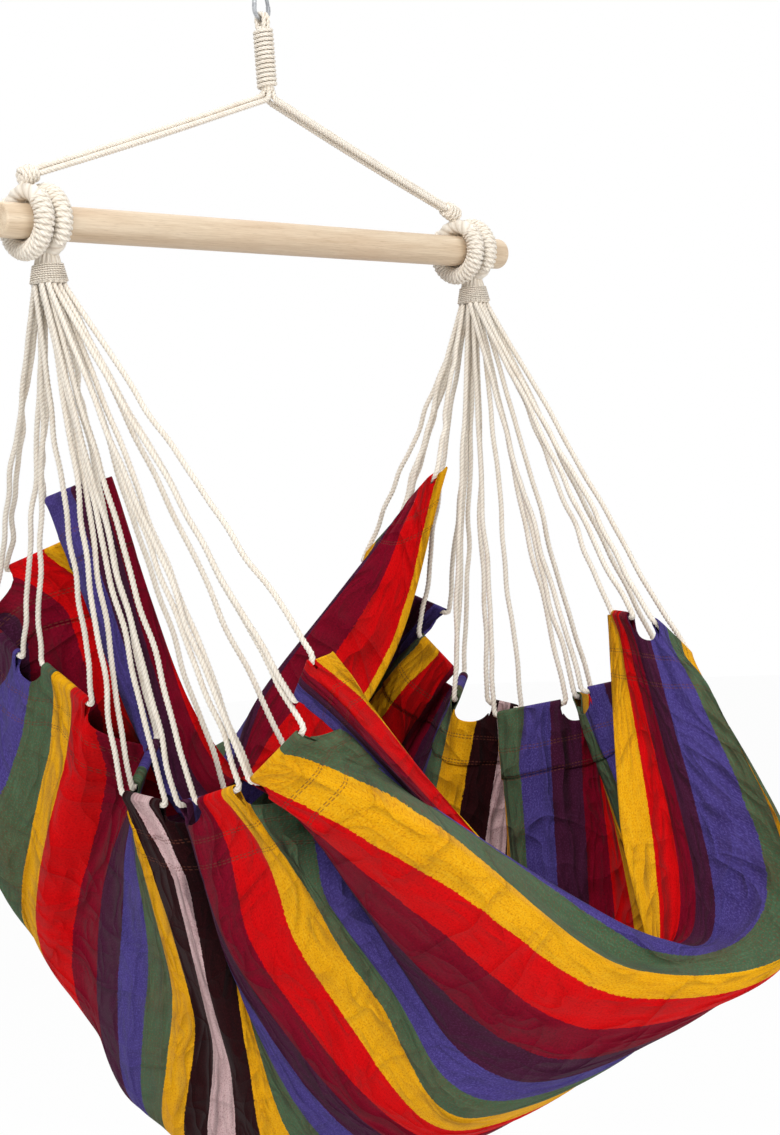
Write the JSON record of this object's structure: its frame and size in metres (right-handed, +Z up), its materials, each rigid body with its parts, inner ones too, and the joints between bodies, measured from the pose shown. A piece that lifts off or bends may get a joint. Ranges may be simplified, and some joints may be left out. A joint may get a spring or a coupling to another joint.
{
  "type": "hammock chair",
  "caption": "Hanging hammock chair: a striped cotton seat gathered on cords at both ends, under a wooden spreader bar, with a rope harness and a snap hook",
  "frame": {"origin": "inside top of the snap hook, where it rests on what holds the chair up", "axes": "+Z up, X along the spreader bar with the harness shaft over its middle, +Y towards the high back of the seat"},
  "size_m": [0.8, 0.8405, 1.3943],
  "materials": {
    "steel": "bare steel, slightly dulled",
    "rope": "undyed cream cotton rope",
    "wood": "pale softwood, sanded, satin",
    "cloth": "woven cotton in stripes of red, maroon, plum, blue, green, yellow, black and cream"
  },
  "bodies": {
    "hook": {"carabiner_frame": "steel", "gate_pin": "steel"},
    "gate": {"carabiner_gate": "steel"},
    "harness": {"hanging_loop": "rope", "hanging_whipping": "rope", "harness_eye_left": "rope", "harness_winding_left": "rope", "harness_rope_left_1": "rope", "harness_rope_left_2": "rope", "harness_rope_left_3": "rope", "harness_eye_right": "rope", "harness_winding_right": "rope", "harness_rope_right_1": "rope", "harness_rope_right_2": "rope", "harness_rope_right_3": "rope"},
    "bar": {"spreader_bar": "wood"},
    "seat": {"seat_eye_left": "rope", "seat_winding_left": "rope", "neck_collar_left": "rope", "seat_cord_left_1": "rope", "seat_cord_left_2": "rope", "seat_cord_left_3": "rope", "seat_cord_left_4": "rope", "seat_cord_left_5": "rope", "seat_cord_left_6": "rope", "seat_cord_left_7": "rope", "seat_cord_left_8": "rope", "seat_cord_left_9": "rope", "seat_cord_left_10": "rope", "seat_cord_left_11": "rope", "seat_eye_right": "rope", "seat_winding_right": "rope", "neck_collar_right": "rope", "seat_cord_right_1": "rope", "seat_cord_right_2": "rope", "seat_cord_right_3": "rope", "seat_cord_right_4": "rope", "seat_cord_right_5": "rope", "seat_cord_right_6": "rope", "seat_cord_right_7": "rope", "seat_cord_right_8": "rope", "seat_cord_right_9": "rope", "seat_cord_right_10": "rope", "seat_cord_right_11": "rope", "seat_cloth": "cloth"}
  },
  "joints": [
    {"name": "gate_hinge", "type": "hinge", "parent": "hook", "child": "gate", "pos_m": [0.00675, 0, -0.011], "axis": [0, 1, 0], "range_deg": [0, 30], "stiffness_Nm_per_rad": 0.05, "springref_deg": -11.46},
    {"name": "harness_swing", "type": "hinge", "parent": "hook", "child": "harness", "pos_m": [0, 0, -0.05375], "axis": [1, 0, 0], "range_deg": [-30, 30]},
    {"name": "bar_turn", "type": "hinge", "parent": "harness", "child": "bar", "pos_m": [-0.008, 0, -0.31275], "axis": [1, 0, 0], "continuous": true},
    {"name": "seat_swing", "type": "hinge", "parent": "harness", "child": "seat", "pos_m": [-0.008, 0, -0.31275], "axis": [1, 0, 0], "range_deg": [-40, 40]}
  ]
}
